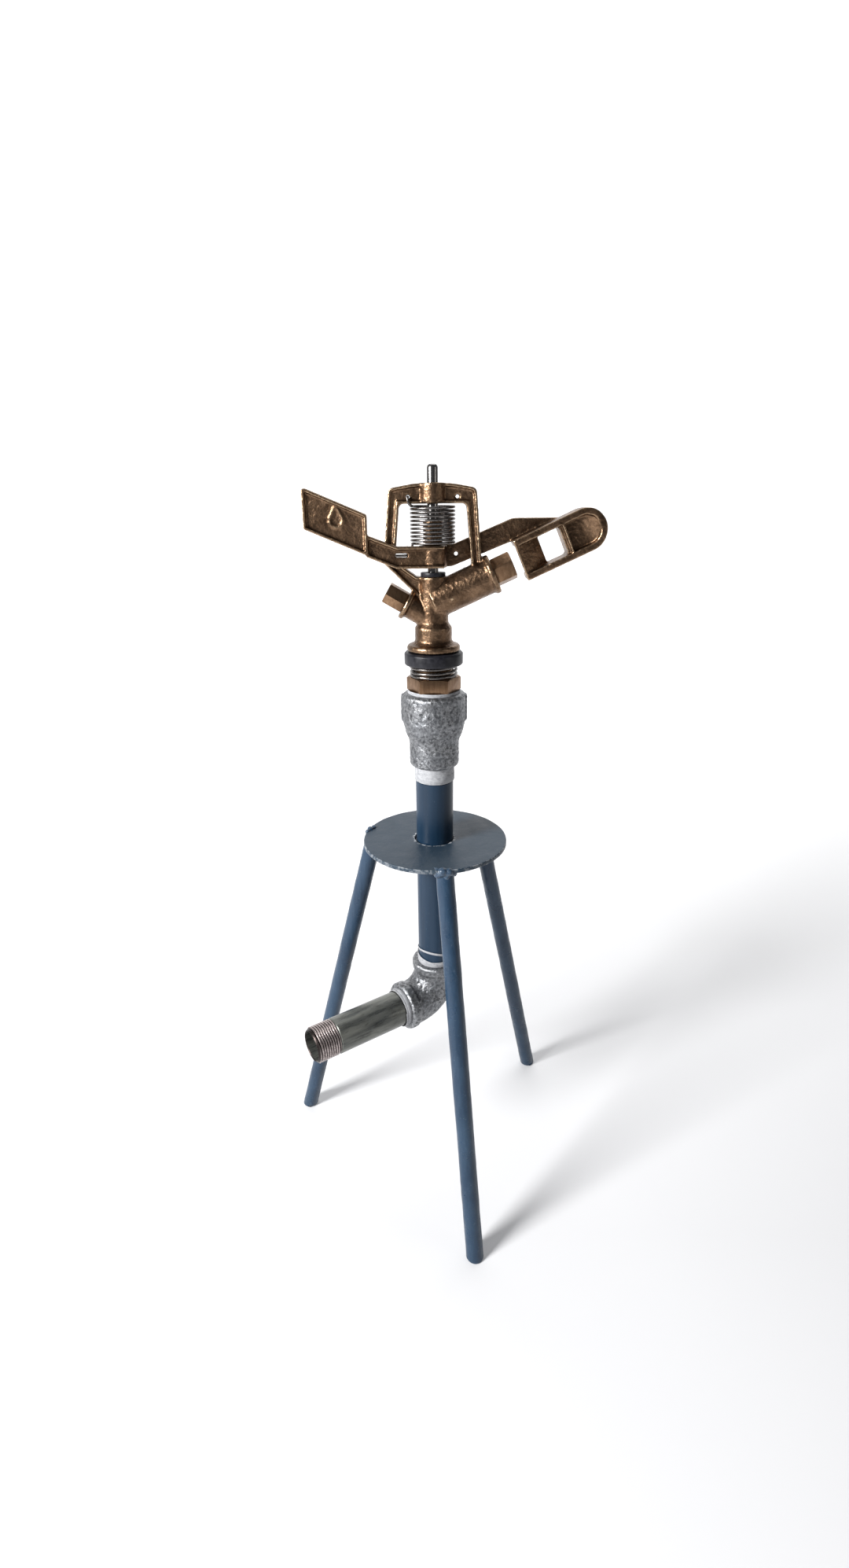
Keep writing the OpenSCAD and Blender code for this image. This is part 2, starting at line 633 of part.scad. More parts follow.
// spoon in the jet's frame: a sloping plate, a window and a hollow that turns the jet
module spoon() {
    v0 = v_mid - end_r;
    v1 = v_mid + end_r;
    round_u = u1 - end_r;
    floor_y = front_y + pocket_depth;
    arc_r = 20;
    arc_u = u1 - rail - sqrt(arc_r * arc_r - (arc_r - pocket_depth) * (arc_r - pocket_depth));
    difference() {
        intersection() {
            slab(front_y, spoon_back, outline([[u0, v0, 0.5], [u1, v0, end_r - 0.1], [u1, v1, end_r - 0.1],
                [u0, v1, 0.5]]));
            translate([0, 0, v0 - 1]) linear_extrude(spoon_w + 2)
                polygon(concat([[u0 - 1, front_y - 1]], [[u1 + 1, front_y - 1]],
                    [for (a = [35 : 10 : 85]) [round_centre_u + round_r * cos(a),
                        spoon_back - round_r + back_edge + round_r * sin(a)]],
                    [[u0 - 1, spoon_back + 1]]));
        }
        slab(front_y - 1, spoon_back + 1, outline([[window_u, v0 + rail, 2],
            [window_u + window_len, v0 + rail, 2], [window_u + window_len, v1 - rail, 2],
            [window_u, v1 - rail, 2]]));
        // in front of and behind the sloping plate
        translate([0, 0, v0 + rail]) linear_extrude(spoon_w - 2 * rail) {
            polygon([[u0 + 1, front_y - 0.1], [window_u + 1, front_y - 0.1], [window_u + 1, front_y + 9.5]]);
            polygon([[u0 - 2, front_y + plate_slope_t - 0.6], [window_u + 1, front_y + 9.5 + plate_slope_t],
                [window_u + 1, spoon_back + 1], [u0 - 2, spoon_back + 1]]);
        }
        // a lip stands between the window and the pocket
        slab(front_y - 1, front_y + lip_drop, outline([[window_u + window_len - 2, v0 + rail, 0],
            [pocket_u - lip_t, v0 + rail, 0], [pocket_u - lip_t, v1 - rail, 0],
            [window_u + window_len - 2, v1 - rail, 0]]));
        // the back is cored out behind the pocket
        slab(floor_y + spoon_wall, spoon_back + 1, outline([[pocket_u, v0 + rail, 2],
            [u1 - rail - core_stop, v0 + rail, 2],
            [u1 - rail - core_stop, v1 - rail, 2], [pocket_u, v1 - rail, 2]]));
        // the pocket, its floor curving to the front at the round end
        intersection() {
            slab(front_y - 1, spoon_back, outline([[pocket_u, v0 + rail, 0.4],
                [u1 - rail, v0 + rail, end_r - rail - 0.1], [u1 - rail, v1 - rail, end_r - rail - 0.1],
                [pocket_u, v1 - rail, 0.4]]));
            translate([0, 0, v0]) linear_extrude(spoon_w)
                polygon(concat([[pocket_u - 1, front_y - 2], [u1 + 1, front_y - 2]],
                    [for (a = [10 : 10 : 90]) [arc_u + arc_r * cos(a), floor_y - arc_r + arc_r * sin(a)]],
                    [[pocket_u - 1, floor_y]]));
        }
    }
}
module arm() {
    color("darkgoldenrod") difference() {
        union() {
            turned([[0, hub_z], [hub_d / 2, hub_z], [hub_d / 2, hub_top], [sleeve_d / 2, hub_top],
                [sleeve_d / 2, hub_top + sleeve_h], [0, hub_top + sleeve_h]]);
            rimmed(-bar_back - 0.5, -bar_y, left_bar(bar_end), left_bar(0), left_bar(hub_d));
            rimmed(-bar_back - 1.5, -bar_y, vane, vane, vane);
            slab(bar_y, bar_back, outline(right_bar));
            jet_frame() spoon();
        }
        translate([0, 0, hub_z - 1]) cylinder(h = hub_h + sleeve_h + 2, r = bush_r);
        // slots for the lower end of the spring
        translate([-20, -bar_y - bar_t, hub_z + 8]) cube([8, 3 * bar_t, arm_wire + 0.6], center = true);
        translate([15, 2 * bar_back, hub_z + 8]) rotate([90, 0, 0])
            cylinder(h = 2 * bar_back, d = arm_wire + 1, $fn = 24);
    }
}
module lower_arm_bush() {
    color("ivory") ring(pin_r + run_gap, bush_r, hub_z, hub_z + bush_h);
}
module upper_arm_bush() {
    color("ivory") ring(pin_r + run_gap, bush_r, hub_top + sleeve_h - bush_h, hub_top + sleeve_h);
}

tripod_plate();
leg_front();
leg_right();
leg_left();
leg_welds();
riser_weld();
riser_pipe();
elbow();
inlet_pipe();
tape_inlet();
tape_riser_bottom();
tape_riser_top();
reducing_socket();
tape_nipple();
bearing_nipple();
upper_wear_washer();
seal_washer();
bearing_spring();
spring_cap();
bearing_tube();
lower_wear_washer();
body_casting();
main_nozzle();
spreader_nozzle();
fulcrum_pin();
arm_washer();
arm_spring();
arm();
lower_arm_bush();
upper_arm_bush();
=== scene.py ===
import math

import bpy
from mathutils import Matrix, Vector


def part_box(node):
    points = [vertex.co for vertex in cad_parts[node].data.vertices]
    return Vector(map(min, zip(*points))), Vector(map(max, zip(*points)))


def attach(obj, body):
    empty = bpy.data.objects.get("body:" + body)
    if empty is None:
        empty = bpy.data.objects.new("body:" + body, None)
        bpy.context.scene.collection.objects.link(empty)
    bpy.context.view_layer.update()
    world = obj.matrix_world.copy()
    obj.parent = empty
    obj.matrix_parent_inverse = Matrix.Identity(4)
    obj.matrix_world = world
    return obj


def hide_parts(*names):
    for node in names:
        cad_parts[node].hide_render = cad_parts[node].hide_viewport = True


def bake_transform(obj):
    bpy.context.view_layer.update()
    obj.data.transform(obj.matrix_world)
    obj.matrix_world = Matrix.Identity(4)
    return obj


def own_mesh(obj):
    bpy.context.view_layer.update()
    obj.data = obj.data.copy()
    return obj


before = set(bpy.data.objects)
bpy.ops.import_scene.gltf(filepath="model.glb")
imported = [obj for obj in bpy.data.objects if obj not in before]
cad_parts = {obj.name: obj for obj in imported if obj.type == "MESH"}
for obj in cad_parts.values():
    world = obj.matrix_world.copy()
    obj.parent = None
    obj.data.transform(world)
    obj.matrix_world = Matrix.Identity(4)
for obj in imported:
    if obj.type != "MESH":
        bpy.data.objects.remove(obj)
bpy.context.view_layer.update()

# ---- Camera ----
# It stands half a metre in front of the riser at the height of the spring, and looks down at the stand.
# Its own right, up and back directions are given, so that it leans very slightly, as if held by hand.
view = bpy.data.cameras.new("view")
view.lens = 16.52
view.sensor_width = 36
view.shift_y = -0.0016
view.clip_start = 0.01
camera = bpy.data.objects.new("camera", view)
bpy.context.scene.collection.objects.link(camera)
looking_right = Vector((1.0, 0.0105, -0.0117))
looking_up = Vector((0.0072, 0.3590, 0.9333))
looking_back = Vector((0.0140, -0.9333, 0.3589))
camera.matrix_world = Matrix.Translation((0, -0.4836, 0.5133)) @ Matrix(
    (looking_right, looking_up, looking_back)).transposed().to_4x4()
bpy.context.scene.camera = camera
bpy.context.scene.view_settings.view_transform = "Standard"

# ---- Floor and light ----
# A white sweep that curves up behind, with one soft light on the left as from a window, a weak one
# on the right and one overhead. The space in front stays dim, so that the metal has contrast.
SWEEP_WIDTH = 8.0
SWEEP_BACK = 3.2
SWEEP_RISE = 3.6
SWEEP_CURVE = 1.6
GLOW_FROM, GLOW_TO = -0.1, 1.3
LEAST_GLOW, MOST_GLOW = 0.06, 0.85
AIM = Vector((0, 0, 0.35))


def only(piece):
    """Makes this the one selected and active object."""
    bpy.ops.object.select_all(action="DESELECT")
    piece.select_set(True)
    bpy.context.view_layer.objects.active = piece


def pick(piece, faces=None, edges=None):
    """Leaves edit mode's selection on the faces or edges that the test accepts, and enters edit mode."""
    only(piece)
    bpy.ops.object.mode_set(mode="EDIT")
    bpy.ops.mesh.select_mode(type="FACE" if faces else "EDGE")
    bpy.ops.mesh.select_all(action="DESELECT")
    bpy.ops.object.mode_set(mode="OBJECT")
    mesh = piece.data
    for face in mesh.polygons if faces else []:
        face.select = faces(face)
    for edge in mesh.edges if edges else []:
        a, b = (mesh.vertices[i].co for i in edge.vertices)
        edge.select = edges(a, b)
    bpy.ops.object.mode_set(mode="EDIT")


def leave():
    """Goes back from edit mode."""
    bpy.ops.object.mode_set(mode="OBJECT")


def settle(piece):
    """Puts the piece's place, turn and size into its mesh."""
    only(piece)
    bpy.ops.object.transform_apply(location=True, rotation=True, scale=True)


bpy.ops.object.select_all(action="DESELECT")
bpy.ops.mesh.primitive_plane_add(size=1, location=(0, 0, 0))
sweep = bpy.context.object
sweep.name = "floor_sweep"
sweep.scale = (SWEEP_WIDTH, 2 * SWEEP_BACK, 1)
settle(sweep)
pick(sweep, edges=lambda a, b: min(a.y, b.y) > SWEEP_BACK - 0.1)
bpy.ops.mesh.extrude_region_move(TRANSFORM_OT_translate={"value": (0, 0, SWEEP_RISE)})
leave()
pick(sweep, edges=lambda a, b: min(a.y, b.y) > SWEEP_BACK - 0.1 and max(a.z, b.z) < 0.1)
bpy.ops.mesh.bevel(offset=SWEEP_CURVE, segments=16)
leave()
sweep.data.shade_smooth()

# The paper is given a glow of its own, weak in front and growing towards the back: painted light that evens
# out the lamps' fall-off where it curves up.
paper = bpy.data.materials.new("white_sweep")
paper.use_nodes = True
nodes, links = paper.node_tree.nodes, paper.node_tree.links
paper_shader = nodes["Principled BSDF"]
paper_shader.inputs["Base Color"].default_value = (0.72, 0.72, 0.73, 1)
paper_shader.inputs["Roughness"].default_value = 0.9
paper_shader.inputs["Emission Color"].default_value = (1, 1, 1, 1)
painted_glow = nodes.new("ShaderNodeMapRange")
painted_glow.inputs["From Min"].default_value = GLOW_FROM
painted_glow.inputs["From Max"].default_value = GLOW_TO
painted_glow.inputs["To Min"].default_value = LEAST_GLOW
painted_glow.inputs["To Max"].default_value = MOST_GLOW
depth = nodes.new("ShaderNodeSeparateXYZ")
links.new(nodes.new("ShaderNodeTexCoord").outputs["Object"], depth.inputs[0])
links.new(depth.outputs["Y"], painted_glow.inputs["Value"])
links.new(painted_glow.outputs["Result"], paper_shader.inputs["Emission Strength"])
sweep.data.materials.append(paper)


def soft_light(name, place, size, power, colour=(1, 1, 1)):
    """A round area light that faces the middle of the object."""
    lamp = bpy.data.lights.new(name, "AREA")
    lamp.shape = "DISK"
    lamp.size = size
    lamp.energy = power
    lamp.color = colour
    light = bpy.data.objects.new(name, lamp)
    light.location = place
    light.rotation_euler = (Vector(place) - AIM).to_track_quat("Z", "Y").to_euler()
    bpy.context.scene.collection.objects.link(light)


soft_light("window", (-1.15, -0.80, 0.95), size=0.5, power=46)
soft_light("fill", (1.5, -0.7, 0.6), size=0.5, power=1.6, colour=(1.0, 0.97, 0.93))
soft_light("overhead", (0.1, 0.7, 2.0), size=1.4, power=11)

# The room is dim to the object and pale where one looks past the end of the sweep.
DIM_ROOM = (0.095, 0.098, 0.105, 1)
PALE_ROOM = (0.90, 0.90, 0.91, 1)
world = bpy.data.worlds.new("room")
world.use_nodes = True
nodes, links = world.node_tree.nodes, world.node_tree.links
seen = nodes.new("ShaderNodeMix")
seen.data_type = "RGBA"
seen.inputs[6].default_value = DIM_ROOM
seen.inputs[7].default_value = PALE_ROOM
links.new(nodes.new("ShaderNodeLightPath").outputs["Is Camera Ray"], seen.inputs[0])
links.new(seen.outputs[2], nodes["Background"].inputs["Color"])
bpy.context.scene.world = world

# ---- Legs ----
# Three lengths of round mild steel bar, sawn at the foot and welded under the plate.
# The blue paint was brushed on, so it is thick, glossy and slightly wrinkled along the bar.
LEG_SIDES = ("front", "right", "left")
LEG_RADIUS = 0.00625
LEG_RINGS = 130
SAWN_OFF = 0.03
FOOT_EDGE = 0.0013


class Finish:
    """A procedural material, built up from patterns on the piece's own coordinates."""

    def __init__(self, name, metallic, roughness, **sockets):
        self.material = bpy.data.materials.new(name)
        self.material.use_nodes = True
        self.tree = self.material.node_tree
        self.shader = self.tree.nodes["Principled BSDF"]
        self.shader.inputs["Metallic"].default_value = metallic
        self.shader.inputs["Roughness"].default_value = roughness
        for socket, value in sockets.items():
            self.shader.inputs[socket.replace("_", " ")].default_value = value
        self.place = self.tree.nodes.new("ShaderNodeTexCoord").outputs["Object"]
        self.normal = None

    def node(self, kind, inputs, **settings):
        node = self.tree.nodes.new("ShaderNode" + kind)
        for key, value in settings.items():
            setattr(node, key, value)
        for key, value in inputs.items():
            if isinstance(value, bpy.types.NodeSocket):
                self.tree.links.new(value, node.inputs[key])
            else:
                node.inputs[key].default_value = value
        return node

    def stretched(self, scale):
        """The piece's own coordinates, scaled along each axis. A small scale draws a pattern out."""
        return self.node("Mapping", {"Vector": self.place, "Scale": scale}).outputs[0]

    def noise(self, size, detail, roughness=0.55, place=None):
        """Soft spots of about this size in metres."""
        return self.node("TexNoise", {
            "Vector": place or self.place, "Scale": 1 / size, "Detail": detail,
            "Roughness": roughness}).outputs["Fac"]

    def cells(self, size):
        """Crystals of about this size in metres, dark in their middles."""
        return self.node("TexVoronoi", {"Vector": self.place, "Scale": 1 / size}).outputs["Distance"]

    def ramp(self, amount, *stops):
        """Maps an amount to a grey through stops of (position, value)."""
        node = self.node("ValToRGB", {"Fac": amount})
        points = node.color_ramp.elements
        while len(points) < len(stops):
            points.new(0.5)
        for point, (position, value) in zip(points, stops):
            point.position = position
            point.color = (value, value, value, 1)
        return node.outputs["Color"]

    def faint(self, amount, most):
        """The amount, weakened so that it reaches this much at full strength."""
        return self.ramp(amount, (0, 0.0), (1, most))

    def mix(self, amount, below, above):
        """Lays one colour over another by an amount. The sockets of a colour mix are 0, 6, 7 and 2."""
        node = self.node("Mix", {}, data_type="RGBA")
        for index, value in ((0, amount), (6, below), (7, above)):
            if isinstance(value, bpy.types.NodeSocket):
                self.tree.links.new(value, node.inputs[index])
            else:
                node.inputs[index].default_value = value if index == 0 else (*value, 1)
        return node.outputs[2]

    def sum(self, a, b, share):
        """The first amount with a share of the second added."""
        return self.node("Math", {0: b, 1: share, 2: a}, operation="MULTIPLY_ADD").outputs[0]

    def colour(self, value):
        self.tree.links.new(value, self.shader.inputs["Base Color"])

    def rough(self, value):
        self.tree.links.new(value, self.shader.inputs["Roughness"])

    def bump(self, height, depth, strength):
        """Adds relief of this depth in metres over what is there already."""
        inputs = {"Height": height, "Distance": depth, "Strength": strength}
        if self.normal:
            inputs["Normal"] = self.normal
        self.normal = self.node("Bump", inputs).outputs["Normal"]
        self.tree.links.new(self.normal, self.shader.inputs["Normal"])

    def painted_shade(self, reach, most):
        """A painted shade: grows towards most in corners and hollows hemmed in by walls within this reach."""
        open_sky = self.node("AmbientOcclusion", {"Distance": reach}, samples=6).outputs["AO"]
        return self.ramp(open_sky, (0.35, most), (0.92, 0.0))

    def edges(self, low, high):
        """1 on sharp outer edges and 0 elsewhere, from the mesh's own shape."""
        point = self.node("NewGeometry", {}).outputs["Pointiness"]
        return self.ramp(point, (low, 0.0), (high, 1.0))


def modify(piece, kind, **settings):
    """Adds a modifier with these settings and applies it."""
    only(piece)
    modifier = piece.modifiers.new(kind.lower(), kind)
    for key, value in settings.items():
        setattr(modifier, key, value)
    bpy.ops.object.modifier_apply(modifier=modifier.name)


def roughen(piece, size, depth):
    """Moves the surface in and out by up to depth, in soft lumps of this size."""
    clouds = bpy.data.textures.new(piece.name + "_lumps", "CLOUDS")
    clouds.noise_scale = size
    clouds.noise_depth = 2
    modify(piece, "DISPLACE", texture=clouds, strength=depth, mid_level=0.5, texture_coords="LOCAL")


def dress(piece, finish, body, node):
    """Gives a finished piece its material and its body, and hides the CAD node that it stands for."""
    piece.data.materials.clear()
    piece.data.materials.append(finish.material)
    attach(piece, body)
    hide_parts(node)


def cut_centre(node, z):
    """Middle of a CAD node's flat end at this height."""
    points = [v.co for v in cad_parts[node].data.vertices if abs(v.co.z - z) < 0.00005]
    low = Vector([min(p[i] for p in points) for i in range(3)])
    high = Vector([max(p[i] for p in points) for i in range(3)])
    return (low + high) / 2


paint = Finish("blue_paint", 0.0, 0.3, IOR=1.42)
brushed = paint.noise(0.006, 4, 0.6, paint.stretched((1, 1, 0.12)))
patches = paint.noise(0.03, 3)
dust = paint.ramp(paint.noise(0.0022, 5, 0.7), (0.60, 0.0), (0.74, 1.0))
body_blue = paint.mix(paint.ramp(patches, (0.35, 0.0), (0.7, 1.0)),
                      (0.010, 0.029, 0.060), (0.019, 0.046, 0.086))
streaked = paint.mix(paint.ramp(brushed, (0.42, 0.0), (0.72, 0.5)), body_blue, (0.030, 0.062, 0.104))
dust_and_wear = paint.sum(paint.faint(dust, 0.35), paint.edges(0.515, 0.56), 0.25)
paint.colour(paint.mix(dust_and_wear, streaked, (0.13, 0.17, 0.21)))
paint.rough(paint.ramp(paint.noise(0.012, 4), (0.3, 0.24), (0.75, 0.42)))
paint.bump(brushed, 0.0012, 0.5)
paint.bump(paint.noise(0.0018, 3), 0.0003, 0.35)

plate_lo, plate_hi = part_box("tripod_plate")
for side in LEG_SIDES:
    node = "leg_" + side
    foot = cut_centre(node, 0)
    top = cut_centre(node, plate_lo.z)
    along = (top - foot).normalized()
    bpy.ops.object.select_all(action="DESELECT")
    bpy.ops.mesh.primitive_cylinder_add(
        vertices=44, radius=LEG_RADIUS, depth=(top - foot).length + SAWN_OFF,
        location=(foot + top) / 2, rotation=along.to_track_quat("Z", "Y").to_euler())
    bar = bpy.context.object
    bar.name = node + "_bar"
    pick(bar, edges=lambda a, b: (a - b).length > 0.1)
    bpy.ops.mesh.subdivide(number_cuts=LEG_RINGS)
    leave()
    settle(bar)
    roughen(bar, 0.009, 0.0005)
    for height, keep_above in ((0.0, True), (plate_lo.z, False)):
        pick(bar, faces=lambda face: True)
        bpy.ops.mesh.bisect(plane_co=(0, 0, height), plane_no=(0, 0, 1), use_fill=True,
                            clear_inner=keep_above, clear_outer=not keep_above)
        leave()
    pick(bar, edges=lambda a, b: max(a.z, b.z) < 0.00001)
    bpy.ops.mesh.bevel(offset=FOOT_EDGE, segments=4)
    leave()
    # The bevel may push the foot of a leaning bar a little through the floor.
    for vertex in bar.data.vertices:
        vertex.co.z = max(vertex.co.z, 0.0)
    bar.data.shade_smooth()
    dress(bar, paint, "root", node)

# ---- Plate ----
# A disc of 3 mm sheet, gas-cut, so its rim is a little uneven, with an oversize hole for the riser.
# It is painted like the legs, but handling and dust have greyed the top and chipped the rim.
HOLE_RADIUS = 0.01455
HOLE_X = -0.0006
RIM_EDGE = 0.0005
plate_radius = (plate_hi.x - plate_lo.x) / 2
plate_thick = plate_hi.z - plate_lo.z
plate_middle = (plate_lo.z + plate_hi.z) / 2

handled = Finish("greyed_plate_paint", 0.0, 0.4, IOR=1.42)
smudge = handled.noise(0.022, 5, 0.65, handled.stretched((1, 0.7, 1)))
speck = handled.ramp(handled.noise(0.0016, 5, 0.75), (0.62, 0.0), (0.7, 1.0))
top_grey = handled.mix(handled.ramp(smudge, (0.38, 0.0), (0.66, 1.0)),
                       (0.016, 0.034, 0.056), (0.036, 0.054, 0.074))
chips = handled.ramp(handled.noise(0.0035, 4, 0.7), (0.47, 0.0), (0.56, 1.0))
rim_wear = handled.node("Math", {0: handled.edges(0.515, 0.56), 1: chips}, operation="MULTIPLY").outputs[0]
specked = handled.mix(handled.faint(speck, 0.3), top_grey, (0.22, 0.24, 0.26))
handled.colour(handled.mix(rim_wear, specked, (0.42, 0.44, 0.46)))
handled.rough(handled.ramp(smudge, (0.3, 0.30), (0.7, 0.55)))
handled.bump(handled.noise(0.004, 4), 0.0006, 0.35)
handled.bump(speck, 0.0001, 0.5)

bpy.ops.object.select_all(action="DESELECT")
bpy.ops.mesh.primitive_circle_add(vertices=160, radius=plate_radius, location=(0, 0, plate_middle))
plate = bpy.context.object
plate.name = "plate_disc"
settle(plate)
bpy.ops.object.mode_set(mode="EDIT")
bpy.ops.mesh.select_all(action="DESELECT")
bpy.ops.mesh.primitive_circle_add(vertices=160, radius=HOLE_RADIUS, location=(HOLE_X, 0, plate_middle))
bpy.ops.mesh.select_all(action="SELECT")
bpy.ops.mesh.bridge_edge_loops(number_cuts=22, interpolation="LINEAR")
bpy.ops.mesh.normals_make_consistent(inside=False)
leave()
modify(plate, "SOLIDIFY", thickness=plate_thick, offset=0)
pick(plate, edges=lambda a, b: abs(a.z - b.z) < 1e-6
     and abs(a.to_2d().length - b.to_2d().length) < 2e-5
     and a.to_2d().length > plate_radius - 1e-4)
bpy.ops.mesh.bevel(offset=RIM_EDGE, segments=3)
leave()
roughen(plate, 0.012, 0.0004)
plate.data.shade_smooth()
bpy.ops.object.shade_smooth_by_angle(angle=math.radians(50))
dress(plate, handled, "root", "tripod_plate")

# ---- Welds ----
# Stick-welded beads round the top of each leg and under the plate round the riser, painted over.
# The front one was burnt through to the rim and stands out as a lump, with spatter beside it.
BEAD_RADIUS = 0.0026
DROPS_ROUND_LEG = 18
DROPS_ROUND_RISER = 34
weld_paint = Finish("painted_weld", 0.0, 0.38, Coat_Weight=0.3, Coat_Roughness=0.2)
weld_paint.colour(weld_paint.mix(weld_paint.ramp(weld_paint.noise(0.002, 4), (0.4, 0.0), (0.65, 1.0)),
                                 (0.016, 0.040, 0.078), (0.045, 0.080, 0.125)))
weld_paint.bump(weld_paint.noise(0.0012, 4, 0.6), 0.0006, 0.6)


def bead_chain(name, drops):
    """One lump of metal from overlapping drops, each given as (centre, radius)."""
    bpy.ops.object.select_all(action="DESELECT")
    parts = []
    for centre, radius in drops:
        bpy.ops.mesh.primitive_ico_sphere_add(subdivisions=2, radius=radius, location=centre)
        parts.append(bpy.context.object)
    for part in parts:
        part.select_set(True)
    bpy.context.view_layer.objects.active = parts[0]
    bpy.ops.object.join()
    bead = bpy.context.object
    bead.name = name
    settle(bead)
    modify(bead, "REMESH", mode="VOXEL", voxel_size=0.0006)
    modify(bead, "SMOOTH", factor=0.5, iterations=3)
    roughen(bead, 0.002, 0.0005)
    bead.data.shade_smooth()
    return bead


def spatter(side, *drops):
    """Drops round the top of one leg, each given as (x, y, z, radius) from its centre."""
    centre = cut_centre("leg_" + side, plate_lo.z)
    return [(centre + Vector(drop[:3]), drop[3]) for drop in drops]


leg_drops = []
for side in LEG_SIDES:
    top = cut_centre("leg_" + side, plate_lo.z)
    for i in range(DROPS_ROUND_LEG):
        turn = 2 * math.pi * i / DROPS_ROUND_LEG
        reach = LEG_RADIUS + 0.0005
        drop = Vector((reach * math.cos(turn), reach * math.sin(turn), -0.0004 - 0.0008 * (i % 2)))
        if (top + drop).to_2d().length < plate_radius - 0.0005:
            leg_drops.append((top + drop, BEAD_RADIUS * (0.75 + 0.18 * math.sin(5.3 * i))))
leg_drops += spatter("front", (-0.005, -0.0042, 0.001, 0.0030), (-0.0015, -0.0052, 0.0013, 0.0034),
                     (0.0028, -0.0048, 0.0010, 0.0031), (0.0062, -0.0028, 0.0004, 0.0026),
                     (-0.0068, -0.0020, 0.0014, 0.0020), (0.0010, -0.0048, -0.0026, 0.0028))
leg_drops += spatter("left", (-0.0035, 0.0065, 0.0030, 0.0024), (-0.0052, 0.0030, 0.0026, 0.0019),
                     (-0.0010, 0.0095, 0.0032, 0.0020))
leg_beads = bead_chain("leg_weld_beads", leg_drops)
dress(leg_beads, weld_paint, "root", "leg_welds")

riser_lo, riser_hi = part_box("riser_pipe")
pipe_radius = riser_hi.x
riser_drops = []
for i in range(DROPS_ROUND_RISER):
    turn = 2 * math.pi * i / DROPS_ROUND_RISER
    reach = pipe_radius + 0.0006
    riser_drops.append((Vector((reach * math.cos(turn), reach * math.sin(turn), plate_lo.z - 0.0014)),
                        0.0023 + 0.0004 * math.sin(7.1 * i)))
riser_bead = bead_chain("riser_weld_bead", riser_drops)
dress(riser_bead, weld_paint, "root", "riser_weld")

# ---- Riser ----
# A length of 3/4 inch steel pipe, screwed at both ends and painted with the stand.
# The paint ran down it in faint streaks, and a few small scuffs show grey.
gloss = Finish("blue_riser_paint", 0.0, 0.34, IOR=1.38)
runs = gloss.noise(0.008, 3, 0.5, gloss.stretched((1, 1, 0.08)))
deep_blue = gloss.mix(gloss.ramp(runs, (0.35, 0.0), (0.7, 1.0)),
                      (0.006, 0.020, 0.042), (0.012, 0.032, 0.062))
scuff = gloss.ramp(gloss.noise(0.0012, 5, 0.8, gloss.stretched((1, 1, 0.35))), (0.66, 0.0), (0.72, 1.0))
gloss.colour(gloss.mix(scuff, deep_blue, (0.16, 0.21, 0.26)))
gloss.rough(gloss.ramp(runs, (0.3, 0.28), (0.7, 0.42)))
gloss.bump(runs, 0.0008, 0.35)
riser_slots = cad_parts["riser_pipe"].data.materials
riser_slots.clear()
riser_slots.append(gloss.material)

# ---- Elbow ----
# A malleable iron elbow, hot-dip galvanised: a rough sand-cast skin under bright mottled zinc,
# with a thick collar at each mouth.
galvanised = Finish("hot_dip_zinc", 0.9, 0.4)
spangle = galvanised.cells(0.0042)
fleck = galvanised.noise(0.0021, 4, 0.62)
cloud = galvanised.noise(0.012, 3)
zinc = galvanised.mix(galvanised.ramp(fleck, (0.36, 0.0), (0.64, 1.0)),
                      (0.045, 0.046, 0.049), (0.36, 0.365, 0.375))
zinc = galvanised.mix(galvanised.ramp(cloud, (0.35, 0.55), (0.7, 0.0)), zinc, (0.17, 0.18, 0.195))
rubbed = galvanised.faint(galvanised.edges(0.51, 0.56), 0.5)
galvanised.colour(galvanised.mix(rubbed, zinc, (0.74, 0.75, 0.77)))
galvanised.rough(galvanised.ramp(fleck, (0.3, 0.52), (0.7, 0.30)))
galvanised.bump(galvanised.sum(fleck, spangle, 0.5), 0.0011, 0.65)


def cad_copy(node, name):
    """A new piece that starts as a CAD node's mesh, with its loose triangles joined up."""
    piece = bpy.data.objects.new(name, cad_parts[node].data.copy())
    bpy.context.scene.collection.objects.link(piece)
    pick(piece, faces=lambda face: True)
    bpy.ops.mesh.remove_doubles(threshold=0.000003)
    leave()
    return piece


def cast(piece, voxel, passes, lump, depth):
    """Rounds every edge and corner as a sand mould does, and gives the skin lumps of this size and depth."""
    modify(piece, "REMESH", mode="VOXEL", voxel_size=voxel)
    modify(piece, "SMOOTH", factor=0.5, iterations=passes)
    roughen(piece, lump, depth)
    piece.data.shade_smooth()


elbow = cad_copy("elbow", "elbow_casting")
cast(elbow, voxel=0.0008, passes=5, lump=0.0028, depth=0.0006)
dress(elbow, galvanised, "root", "elbow")

# ---- Inlet pipe ----
# A short barrel nipple of zinc-plated steel, dull grey-green with dark smudges,
# with a cut taper thread at each end. The free end's thread is worn to bare metal.
INLET_AZIMUTH = math.radians(214.7)
INLET_START = 0.018
INLET_END = 0.111
PITCH = 0.001814
THREAD = 0.018
THREAD_DEPTH = 0.0013
PIPE_BORE = 0.0108
WIRE_STEPS = 48
root_radius = pipe_radius - THREAD_DEPTH
inlet_lo, inlet_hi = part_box("inlet_pipe")
inlet_z = (inlet_lo.z + inlet_hi.z) / 2
inlet_frame = (Matrix.Translation((0, 0, inlet_z)) @ Matrix.Rotation(INLET_AZIMUTH, 4, "Z")
               @ Matrix.Rotation(math.pi / 2, 4, "Y"))


def about_inlet(finish, stretch):
    """The piece's own coordinates, turned so that Z runs along the inlet pipe and patterns draw out."""
    return finish.node("Mapping", {
        "Vector": finish.place, "Location": inlet_frame.translation, "Rotation": inlet_frame.to_euler(),
        "Scale": (1, 1, stretch)}, vector_type="TEXTURE").outputs[0]


